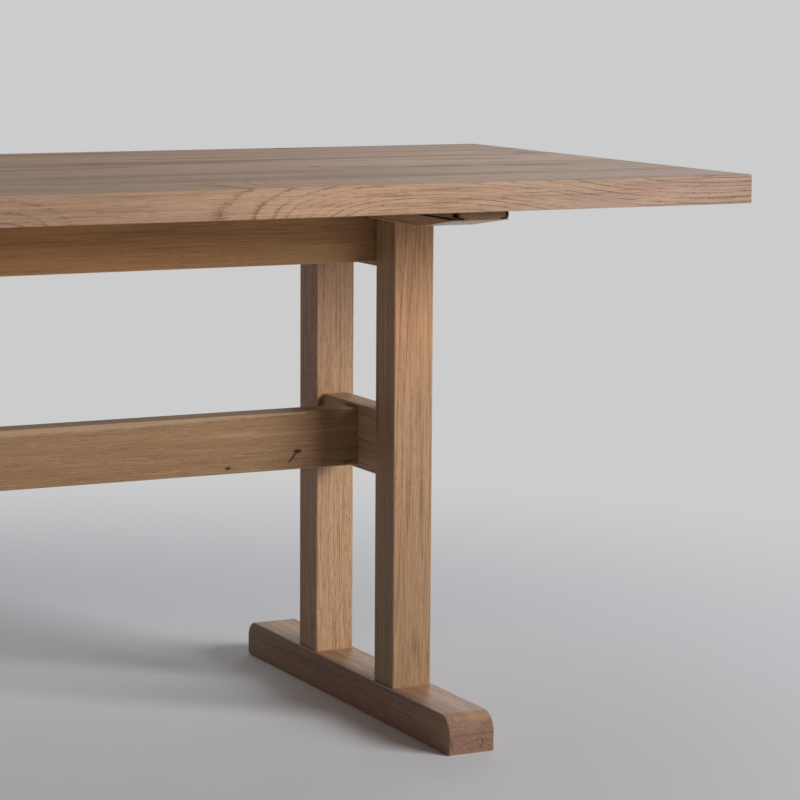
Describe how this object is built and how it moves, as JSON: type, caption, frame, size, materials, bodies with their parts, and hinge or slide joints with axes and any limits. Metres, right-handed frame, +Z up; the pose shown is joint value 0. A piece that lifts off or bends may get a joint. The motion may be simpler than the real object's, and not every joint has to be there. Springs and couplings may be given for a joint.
{
  "type": "trestle dining table",
  "caption": "Oak trestle dining table: edge-glued board top on two trestles with paired legs, laminated feet, low stretcher and twin upper rails.",
  "frame": {"origin": "on the floor under the middle of the top", "axes": "+X along the top towards its right end, +Y from the front edge to the rear edge, +Z up"},
  "size_m": [2, 0.784, 0.76],
  "materials": {
    "oak_top": "oiled",
    "oak_frame": "oiled",
    "beech_dowel": "plain",
    "black_steel": "satin black",
    "black_fasteners": "black oxide",
    "zinc_fasteners": "zinc plated"
  },
  "bodies": {
    "root": {"front_upper_rail": "oak_frame", "left_alignment_dowels": "beech_dowel", "left_barrel_nuts": "zinc_fasteners", "left_channel_screws": "zinc_fasteners", "left_connector_bolts": "black_fasteners", "left_foot_cap": "oak_frame", "left_foot_sole": "oak_frame", "left_front_leg": "oak_frame", "left_locking_screws": "black_fasteners", "left_lower_cross_rail": "oak_frame", "left_rear_leg": "oak_frame", "left_slide_batten": "oak_frame", "left_steel_channel": "black_steel", "left_top_bearer": "oak_frame", "left_upper_cross_rail": "oak_frame", "lower_stretcher": "oak_frame", "rear_upper_rail": "oak_frame", "right_alignment_dowels": "beech_dowel", "right_barrel_nuts": "zinc_fasteners", "right_channel_screws": "zinc_fasteners", "right_connector_bolts": "black_fasteners", "right_foot_cap": "oak_frame", "right_foot_sole": "oak_frame", "right_front_leg": "oak_frame", "right_locking_screws": "black_fasteners", "right_lower_cross_rail": "oak_frame", "right_rear_leg": "oak_frame", "right_slide_batten": "oak_frame", "right_steel_channel": "black_steel", "right_top_bearer": "oak_frame", "right_upper_cross_rail": "oak_frame", "tabletop_board_1": "oak_top", "tabletop_board_2": "oak_top", "tabletop_board_3": "oak_top", "tabletop_board_4": "oak_top", "tabletop_board_5": "oak_top", "tabletop_board_6": "oak_top", "tabletop_board_7": "oak_top"}
  },
  "joints": []
}
